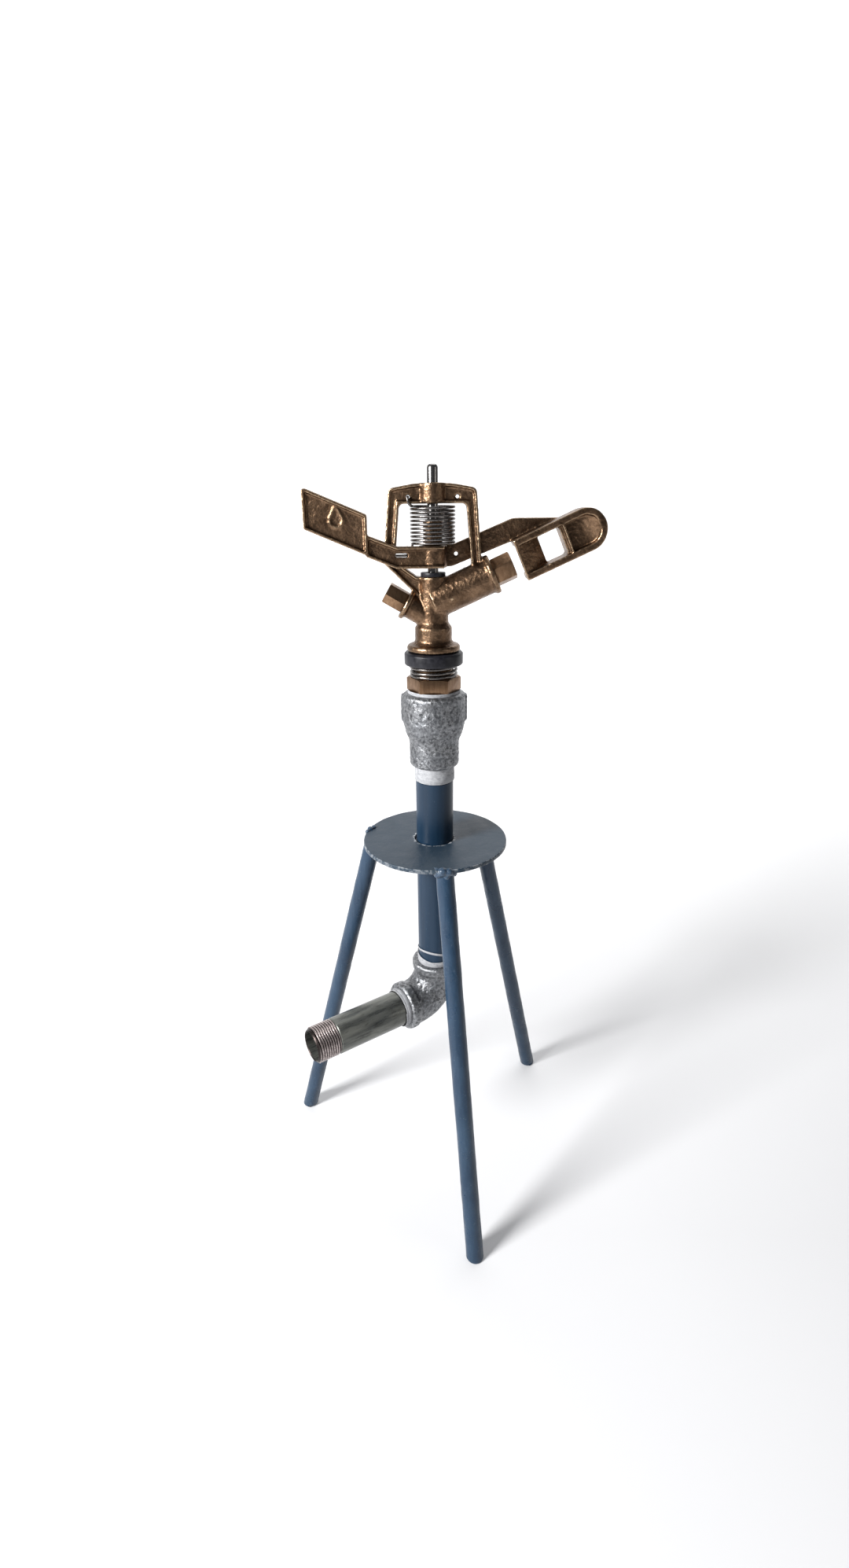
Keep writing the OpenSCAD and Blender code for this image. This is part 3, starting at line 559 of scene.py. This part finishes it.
plated = Finish("zinc_plated_pipe", 0.55, 0.3)
smear = plated.noise(0.0055, 5, 0.6, about_inlet(plated, 7))
stain = plated.ramp(plated.noise(0.004, 5, 0.7, about_inlet(plated, 3)), (0.54, 0.0), (0.64, 1.0))
plated_base = plated.mix(plated.ramp(smear, (0.38, 0.0), (0.62, 1.0)),
                         (0.085, 0.089, 0.083), (0.200, 0.204, 0.182))
plated.colour(plated.mix(plated.faint(stain, 0.45), plated_base, (0.030, 0.027, 0.022)))
plated.rough(plated.ramp(smear, (0.3, 0.22), (0.7, 0.40)))
plated.bump(plated.noise(0.0012, 4), 0.0002, 0.4)

# The thread's crests are worn to bright metal with a painted highlight, and its valleys are painted dark as
# shade, by the distance from the pipe's axis: with Z drawn out so much that it counts for nothing, that is
# the length of the coordinates.
worn_thread = Finish("worn_pipe_thread", 0.9, 0.35)
nick = worn_thread.noise(0.0016, 5, 0.7)
from_axis = worn_thread.node("VectorMath", {0: about_inlet(worn_thread, 1e5)},
                             operation="LENGTH").outputs["Value"]
ridge_highlight_and_groove_shade = worn_thread.node("MapRange", {
    "Value": from_axis, "From Min": root_radius + 0.0004,
    "From Max": root_radius + 0.0011}).outputs["Result"]
worn_ridge_metal_and_highlight = worn_thread.mix(worn_thread.ramp(nick, (0.36, 0.0), (0.6, 1.0)), (0.30, 0.25, 0.24),
                              (0.66, 0.57, 0.55))
# Valleys are painted near black as shade, and crests take bright worn metal with a painted highlight.
worn_thread.colour(worn_thread.mix(ridge_highlight_and_groove_shade, (0.030, 0.023, 0.021), worn_ridge_metal_and_highlight))
worn_thread.rough(worn_thread.ramp(nick, (0.3, 0.5), (0.7, 0.28)))
worn_thread.bump(nick, 0.00015, 0.4)


def wire(name, points, radius, sides, tips=0):
    """A round wire, or with sides=0 a square one on edge, along the points, closed at both ends.
    With tips, it grows from thin to full over that many points at each end."""
    path = bpy.data.curves.new(name, "CURVE")
    path.dimensions = "3D"
    path.twist_mode = "Z_UP"
    path.bevel_depth = radius
    path.bevel_resolution = sides
    path.use_fill_caps = True
    spline = path.splines.new("POLY")
    spline.points.add(len(points) - 1)
    for i, (point, place) in enumerate(zip(spline.points, points)):
        point.co = (*place, 1)
        from_tip = min(i, len(points) - 1 - i)
        point.radius = min(1.0, 0.15 + from_tip / tips) if tips else 1.0
    piece = bpy.data.objects.new(name, path)
    bpy.context.scene.collection.objects.link(piece)
    only(piece)
    bpy.ops.object.convert(target="MESH")
    piece = bpy.context.object
    piece.data.shade_smooth()
    return piece


def helix(radius, z0, z1, pitch):
    """Points of a helix about Z from z0 to z1."""
    points = []
    for i in range(int((z1 - z0) / pitch * WIRE_STEPS) + 1):
        turn = 2 * math.pi * i / WIRE_STEPS
        points.append(Vector((radius * math.cos(turn), radius * math.sin(turn), z0 + pitch * i / WIRE_STEPS)))
    return points


def joined(name, *parts):
    """Makes one piece of several."""
    bpy.ops.object.select_all(action="DESELECT")
    for part in parts:
        part.select_set(True)
    bpy.context.view_layer.objects.active = parts[0]
    bpy.ops.object.join()
    parts[0].name = name
    return parts[0]


def tube(name, profile):
    """A closed solid of revolution about Z, spun from an outline of (radius, height) points."""
    mesh = bpy.data.meshes.new(name)
    mesh.from_pydata([(r, 0, z) for r, z in profile],
                     [(i, (i + 1) % len(profile)) for i in range(len(profile))], [])
    piece = bpy.data.objects.new(name, mesh)
    bpy.context.scene.collection.objects.link(piece)
    only(piece)
    bpy.ops.object.mode_set(mode="EDIT")
    bpy.ops.mesh.select_all(action="SELECT")
    bpy.ops.mesh.spin(steps=96, angle=2 * math.pi, center=(0, 0, 0), axis=(0, 0, 1))
    bpy.ops.mesh.select_all(action="SELECT")
    bpy.ops.mesh.remove_doubles(threshold=0.000001)
    bpy.ops.mesh.normals_make_consistent(inside=False)
    leave()
    piece.data.shade_smooth()
    bpy.ops.object.shade_smooth_by_angle(angle=math.radians(32))
    return piece


thread_foot = INLET_START + THREAD
free_thread = INLET_END - THREAD
barrel = tube("inlet_barrel", [
    (PIPE_BORE, INLET_START), (root_radius, INLET_START), (root_radius, thread_foot),
    (pipe_radius, thread_foot + 0.0012), (pipe_radius, free_thread - 0.0012),
    (root_radius, free_thread), (root_radius, INLET_END - 0.0008), (root_radius - 0.0007, INLET_END),
    (PIPE_BORE + 0.0005, INLET_END), (PIPE_BORE, INLET_END - 0.0006)])
pick(barrel, edges=lambda a, b: abs(a.z - b.z) > 0.03)
bpy.ops.mesh.subdivide(number_cuts=30)
leave()
inner_thread = wire("inner_thread", helix(root_radius, INLET_START + 0.001, thread_foot, PITCH),
                    0.00105, sides=0, tips=20)
outer_thread = wire("outer_thread", helix(root_radius, free_thread - 0.0005, INLET_END - 0.0012, PITCH),
                    0.0013, sides=0, tips=20)
for part in (barrel, inner_thread, outer_thread):
    part.data.materials.append(plated.material)
    part.data.materials.append(worn_thread.material)
    for face in part.data.polygons:
        worn = part is not barrel or (face.center.z > free_thread - 0.0006
                                      and face.center.xy.length > PIPE_BORE)
        face.material_index = 1 if worn else 0
inlet = joined("inlet_nipple", barrel, inner_thread, outer_thread)
inlet.data.transform(inlet_frame)
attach(inlet, "root")
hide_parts("inlet_pipe")

# ---- Thread tape ----
# Soft white sealing tape, wound by hand in overlapping turns on every male thread.
# It stands out of the elbow's and socket's mouths, and one loop has slipped up the riser.
TAPE = 0.00016
ROLLED_TAPE = 0.00022
TAPE_STEPS = 72
BAND_FOOT = 0.3305
ELBOW_MOUTH = 0.033
NIPPLE_RADIUS = 0.0165
ptfe = Finish("sealing_tape", 0.0, 0.55, Specular_IOR_Level=0.35)
crease = ptfe.noise(0.003, 5, 0.7, ptfe.stretched((1, 1, 2.2)))
ptfe.colour(ptfe.mix(ptfe.ramp(crease, (0.3, 0.0), (0.6, 1.0)), (0.24, 0.245, 0.26), (0.42, 0.425, 0.44)))
ptfe.bump(crease, 0.0007, 0.5)


def ribbon(name, points, width, thickness):
    """A flat tape on edge along the points, with rounded edges."""
    path = bpy.data.curves.new(name, "CURVE")
    path.dimensions = "3D"
    path.twist_mode = "Z_UP"
    path.extrude = width / 2
    path.bevel_depth = thickness / 2
    path.bevel_resolution = 1
    path.use_fill_caps = True
    spline = path.splines.new("POLY")
    spline.points.add(len(points) - 1)
    for point, place in zip(spline.points, points):
        point.co = (*place, 1)
    piece = bpy.data.objects.new(name, path)
    bpy.context.scene.collection.objects.link(piece)
    only(piece)
    bpy.ops.object.convert(target="MESH")
    piece = bpy.context.object
    piece.data.shade_smooth()
    return piece


def wound(radius, z, turns, grow, climb, lean, low_side):
    """Points of a tape wound about Z. Each turn lies on the last by grow and shifts up by climb, and the
    loop leans down by lean towards one side, given in radians."""
    points = []
    for i in range(int(turns * TAPE_STEPS) + 1):
        turn = 2 * math.pi * i / TAPE_STEPS
        r = radius + grow * i / TAPE_STEPS
        drop = -lean * math.cos(turn - low_side)
        points.append(Vector((r * math.cos(turn), r * math.sin(turn), z + climb * i / TAPE_STEPS + drop)))
    return points


def packing(name, radius, mouth, *corners):
    """Tape squeezed into a mouth, from corners given as (out, up) from the thread and the mouth."""
    return tube(name, [(radius + out, mouth + up) for out, up in corners])


socket_lo, socket_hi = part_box("reducing_socket")
band_mid = (socket_lo.z + BAND_FOOT) / 2
riser_band = joined(
    "riser_top_tape",
    ribbon("band", wound(pipe_radius + 0.0002, band_mid - 0.0002, turns=2.6, grow=0.00018, climb=0.0001,
                         lean=0.0004, low_side=-1.2), 0.0112, TAPE),
    ribbon("fold", wound(pipe_radius + 0.00062, band_mid - 0.0026, turns=1.1, grow=0.0001, climb=0.0003,
                         lean=0.0006, low_side=0.6), 0.0052, TAPE),
    packing("packing", pipe_radius, socket_lo.z,
            (-0.0008, -0.001), (0.0007, -0.001), (0.0009, 0.002), (-0.0008, 0.002)))
dress(riser_band, ptfe, "root", "tape_riser_top")

elbow_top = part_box("elbow")[1].z
riser_base = joined(
    "riser_bottom_tape",
    ribbon("low_band", wound(pipe_radius + 0.0003, elbow_top + 0.0008, turns=2.4, grow=0.00025,
                             climb=0.0002, lean=0.0005, low_side=2.0), 0.0050, TAPE),
    ribbon("slipped_loop", wound(pipe_radius + 0.0005, elbow_top + 0.0075, turns=1.02, grow=0.0,
                                 climb=0.0, lean=0.0050, low_side=1.0), 0.0016, ROLLED_TAPE),
    ribbon("second_loop", wound(pipe_radius + 0.0007, elbow_top + 0.0038, turns=1.02, grow=0.0,
                                climb=0.0, lean=0.0024, low_side=-0.6), 0.0020, ROLLED_TAPE),
    packing("packing", pipe_radius, elbow_top,
            (-0.001, -0.003), (0.0008, -0.003), (0.0006, 0.001), (-0.001, 0.001)))
dress(riser_base, ptfe, "root", "tape_riser_bottom")

inlet_tape = joined(
    "inlet_tape",
    ribbon("first_turns", wound(pipe_radius + 0.0003, ELBOW_MOUTH + 0.0012, turns=2.3, grow=0.0003,
                                climb=0.0008, lean=0.0002, low_side=0.3), 0.0024, 0.0003),
    ribbon("last_turn", wound(pipe_radius + 0.0006, ELBOW_MOUTH + 0.0003, turns=1.6, grow=0.0005,
                              climb=0.0006, lean=0.0003, low_side=2.5), 0.0020, 0.0004),
    packing("packing", pipe_radius, ELBOW_MOUTH,
            (-0.001, -0.003), (0.0014, -0.003), (0.0013, 0.0008), (-0.001, 0.0016)))
inlet_tape.data.transform(inlet_frame)
dress(inlet_tape, ptfe, "root", "tape_inlet")

squeezed = joined(
    "nipple_tape",
    packing("squeezed_tape", NIPPLE_RADIUS, socket_hi.z,
            (-0.0012, -0.004), (0.0006, -0.004), (0.0016, 0.0002), (0.0010, 0.0014), (-0.0012, 0.0014)),
    ribbon("loose_edge", wound(NIPPLE_RADIUS + 0.0007, socket_hi.z + 0.0006, turns=2.2, grow=0.0003,
                               climb=0.0001, lean=0.0003, low_side=0.9), 0.0018, 0.0003))
dress(squeezed, ptfe, "root", "tape_nipple")

# ---- Reducing socket ----
# Galvanised malleable iron like the elbow, 1 inch above and 3/4 inch below, with two grip ribs.
# It is screwed over the riser's top thread and takes the sprinkler's nipple.
socket = cad_copy("reducing_socket", "socket_casting")
cast(socket, voxel=0.0008, passes=2, lump=0.0026, depth=0.0007)
dress(socket, galvanised, "root", "reducing_socket")

# ---- Bearing nipple ----
# A turned brass nipple whose hexagon takes the spanner and whose bore carries the bearing tube.
# The flats are drawn bar with fine scores, a little tarnished.
BROKEN_EDGE = 0.00025
brass = Finish("machined_brass", 1.0, 0.3)
score = brass.noise(0.0016, 4, 0.7, brass.stretched((1, 1, 0.15)))
tarnish = brass.noise(0.009, 4, 0.6)
bright = brass.mix(brass.ramp(score, (0.35, 0.0), (0.65, 1.0)), (0.20, 0.118, 0.068), (0.32, 0.20, 0.118))
brass.colour(brass.mix(brass.ramp(tarnish, (0.42, 0.0), (0.72, 0.7)), bright, (0.13, 0.072, 0.040)))
brass.rough(brass.ramp(tarnish, (0.3, 0.27), (0.7, 0.42)))
brass.bump(score, 0.00025, 0.4)


def softened(node, name, width=BROKEN_EDGE, angle=28):
    """A copy of a machined CAD part with its sharp edges broken, as a tool leaves them."""
    piece = cad_copy(node, name)
    pick(piece, faces=lambda face: True)
    bpy.ops.mesh.dissolve_limited(angle_limit=math.radians(1.0))
    leave()
    modify(piece, "BEVEL", width=width, segments=2, limit_method="ANGLE", angle_limit=math.radians(angle),
           harden_normals=False)
    piece.data.shade_smooth()
    bpy.ops.object.shade_smooth_by_angle(angle=math.radians(angle))
    return piece


nipple = softened("bearing_nipple", "nipple_hexagon")
dress(nipple, brass, "root", "bearing_nipple")

# ---- Bearing spring and its cap ----
# A stainless compression spring holds the bearing's seal shut. Its top turn sits in the black
# nylon cap, which keeps sand off it, and its ends are closed up flat.
BEARING_WIRE = 0.001
steel = Finish("stainless_wire", 1.0, 0.2)
drawn = steel.noise(0.0009, 4, 0.6)
steel.colour(steel.mix(steel.ramp(drawn, (0.3, 0.0), (0.7, 1.0)),
                       (0.10, 0.090, 0.084), (0.25, 0.235, 0.225)))
steel.rough(steel.ramp(drawn, (0.3, 0.24), (0.7, 0.36)))


def coil(radius, wire_radius, z0, z1, turns, closed, start):
    """Helix points between two heights, whose first and last turns lie close together."""
    points = []
    total = int(turns * WIRE_STEPS)
    ease = closed * WIRE_STEPS
    heights = [0.0]
    for i in range(total):
        from_end = min(i, total - 1 - i)
        heights.append(heights[-1] + (0.25 + 0.75 * min(1.0, from_end / ease)))
    span = z1 - z0 - 2 * wire_radius
    for i in range(total + 1):
        turn = start + 2 * math.pi * i / WIRE_STEPS
        points.append(Vector((radius * math.cos(turn), radius * math.sin(turn),
                              z0 + wire_radius + span * heights[i] / heights[-1])))
    return points


spring_lo, spring_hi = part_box("bearing_spring")
bearing_turns = coil(spring_hi.x - BEARING_WIRE, BEARING_WIRE, spring_lo.z, spring_hi.z,
                     turns=4.3, closed=1.0, start=2.2)
bearing_coil = wire("bearing_spring_coil", bearing_turns, BEARING_WIRE, sides=4)
dress(bearing_coil, steel, "root", "bearing_spring")
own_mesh(bearing_coil)

nylon = Finish("black_nylon", 0.0, 0.36, IOR=1.4)
rub = nylon.noise(0.0045, 5, 0.7)
nylon.colour(nylon.mix(nylon.ramp(rub, (0.45, 0.0), (0.75, 1.0)),
                       (0.006, 0.006, 0.009), (0.022, 0.022, 0.028)))
nylon.rough(nylon.ramp(rub, (0.3, 0.28), (0.7, 0.5)))
nylon.bump(nylon.noise(0.0009, 4), 0.00015, 0.4)
cap = softened("spring_cap", "spring_cap_ring", width=0.0003)
dress(cap, nylon, "cap", "spring_cap")

# ---- Body ----
# One sand casting in gunmetal: flange and neck, boss for the pin, range tube, spreader port and
# the bridge over the arm. Its skin is rough and brown, with painted shade in its corners and hollows,
# and edges that rub are bright, with a painted highlight on them.
bronze = Finish("cast_gunmetal", 1.0, 0.36)
grain = bronze.noise(0.0011, 5, 0.65)
blotch = bronze.noise(0.010, 4, 0.6)
skin = bronze.mix(bronze.ramp(blotch, (0.34, 0.0), (0.68, 1.0)),
                  (0.105, 0.064, 0.039), (0.285, 0.180, 0.110))
skin = bronze.mix(bronze.ramp(grain, (0.30, 0.75), (0.52, 0.0)), skin, (0.080, 0.043, 0.021))
# Corners and hollows darken to deep brown: painted shade.
skin = bronze.mix(bronze.painted_shade(0.005, 0.85), skin, (0.050, 0.027, 0.014))
# Sharp edges are rubbed bright, and their colour also carries a painted highlight.
rubbed_edge_and_highlight = bronze.edges(0.512, 0.575)
bronze.colour(bronze.mix(bronze.faint(rubbed_edge_and_highlight, 0.8), skin, (0.66, 0.48, 0.31)))
bronze.rough(bronze.mix(rubbed_edge_and_highlight, bronze.ramp(grain, (0.3, 0.40), (0.7, 0.27)), (0.24, 0.24, 0.24)))
bronze.bump(bronze.noise(0.0024, 3, 0.5), 0.0007, 0.42)
bronze.bump(grain, 0.0005, 0.38)

body = cad_copy("body_casting", "body_shell")
cast(body, voxel=0.00062, passes=4, lump=0.0018, depth=0.00035)
dress(body, bronze, "head", "body_casting")

# ---- Nozzles ----
# Both are turned from hexagon brass bar and screwed into the body's ports: the long-range one on the
# right, and the small spreader that waters the ground close by.
for node in ("main_nozzle", "spreader_nozzle"):
    nozzle = softened(node, node + "_hexagon")
    dress(nozzle, brass, "head", node)

# ---- Fulcrum pin and arm washer ----
# A ground stainless pin, pressed through the bridge into the boss, on which the arm turns, and the
# plastic washer on which the arm's hub rests.
ground = Finish("ground_stainless", 1.0, 0.24)
turning = ground.noise(0.0012, 4, 0.6, ground.stretched((0.3, 0.3, 2.0)))
ground.colour(ground.mix(ground.ramp(turning, (0.3, 0.0), (0.7, 1.0)),
                         (0.18, 0.172, 0.168), (0.30, 0.29, 0.28)))
pin = softened("fulcrum_pin", "fulcrum_pin_ground", angle=20)
dress(pin, ground, "head", "fulcrum_pin")
washer = softened("arm_washer", "arm_washer_ring")
dress(washer, nylon, "head", "arm_washer")

# ---- Torsion spring ----
# Ten turns of stainless wire. Its upper end hooks into the bridge and its lower end into the arm's
# left bar, so the coil winds up as the arm swings.
ARM_WIRE = 0.0008
END_TURN = math.radians(198.7)
BAR_HOLE_Z = 0.4835
BRIDGE_HOLE_X = -0.0155
BRIDGE_HOLE_Z = 0.5180
torsion_lo, torsion_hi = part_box("arm_spring")
torsion_radius = torsion_hi.x - ARM_WIRE


def eased(points):
    """The same route with its corners cut three times, so that the wire bends instead of folding."""
    points = [Vector(p) for p in points]
    for _ in range(3):
        cut = [points[0]]
        for a, b in zip(points, points[1:]):
            cut += [a.lerp(b, 0.25), a.lerp(b, 0.75)]
        points = cut + [points[-1]]
    return points


turns = coil(torsion_radius, ARM_WIRE, torsion_lo.z, torsion_hi.z, turns=10, closed=0.6, start=END_TURN)
lower_hook = eased([
    (-0.0236, -0.0096, BAR_HOLE_Z), (-0.0196, -0.0094, BAR_HOLE_Z), (-0.0172, -0.0076, BAR_HOLE_Z),
    (-0.0150, -0.0050, 0.4836), (-0.0136, -0.0043, 0.4848), (-0.0131, -0.0043, 0.4880), turns[0]])
upper_hook = eased([
    turns[-1], (-0.0148, -0.0058, 0.5138), (BRIDGE_HOLE_X, -0.0059, 0.5162),
    (BRIDGE_HOLE_X, -0.0054, BRIDGE_HOLE_Z), (BRIDGE_HOLE_X, -0.0030, BRIDGE_HOLE_Z),
    (BRIDGE_HOLE_X, 0.0042, BRIDGE_HOLE_Z)])
torsion = wire("torsion_spring_coil", lower_hook[:-1] + turns + upper_hook[1:], ARM_WIRE, sides=3)
torsion.data.materials.clear()
torsion.data.materials.append(steel.material)
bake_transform(torsion)
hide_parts("arm_spring")

# ---- Arm ----
# The impact arm is one gunmetal casting: hub and sleeve, the left bar with its vane in front of the
# bridge, and the right bar with the spoon behind it.
# A plain raised water drop fills the panel of the vane, where the foundry's mark would be.
DROP_PLACE = Vector((-0.0600, -0.0086, 0.5050))
DROP_RADIUS = 0.0048
DROP_TIP = 0.0042
bpy.ops.object.select_all(action="DESELECT")
bpy.ops.mesh.primitive_circle_add(vertices=40, radius=DROP_RADIUS, fill_type="NGON",
                                  location=DROP_PLACE, rotation=(math.pi / 2, 0, 0))
drop = bpy.context.object
settle(drop)
# The upper half of the disc is drawn up to a point.
for vertex in drop.data.vertices:
    share = (vertex.co.z - DROP_PLACE.z) / DROP_RADIUS
    if share > 0:
        vertex.co.z += DROP_TIP * share ** 2
        vertex.co.x = DROP_PLACE.x + (vertex.co.x - DROP_PLACE.x) * (1 - 0.55 * share ** 1.5)
# It stands up from the panel, with its middle sunk again so that a rim is left.
pick(drop, faces=lambda face: True)
bpy.ops.mesh.extrude_region_move(TRANSFORM_OT_translate={"value": (0, -0.0012, 0)})
bpy.ops.mesh.inset(thickness=0.0011)
bpy.ops.mesh.extrude_region_move(TRANSFORM_OT_translate={"value": (0, 0.0010, 0)})
bpy.ops.mesh.select_all(action="SELECT")
bpy.ops.mesh.normals_make_consistent(inside=False)
leave()
arm = joined("impact_arm", cad_copy("arm", "impact_arm"), drop)
cast(arm, voxel=0.00055, passes=4, lump=0.0018, depth=0.00032)
dress(arm, bronze, "arm", "arm")

# ---- Inner parts ----
# The brass tube and the plastic and rubber washers of the bearing, and the two bushes of the arm's hub,
# keep their machined shapes. They are pressed or slipped in, and hardly show.
acetal = Finish("white_acetal", 0.0, 0.42)
acetal.colour(acetal.mix(acetal.noise(0.002, 4), (0.66, 0.62, 0.53), (0.78, 0.75, 0.68)))
rubber = Finish("black_rubber", 0.0, 0.7)
rubber.colour(rubber.mix(rubber.noise(0.001, 4), (0.012, 0.012, 0.012), (0.035, 0.035, 0.036)))
rubber.bump(rubber.noise(0.0006, 3), 0.0001, 0.5)
for node, finish in (("bearing_tube", brass), ("upper_wear_washer", acetal), ("lower_wear_washer", acetal),
                     ("seal_washer", rubber), ("lower_arm_bush", acetal), ("upper_arm_bush", acetal)):
    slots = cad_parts[node].data.materials
    slots.clear()
    slots.append(finish.material)
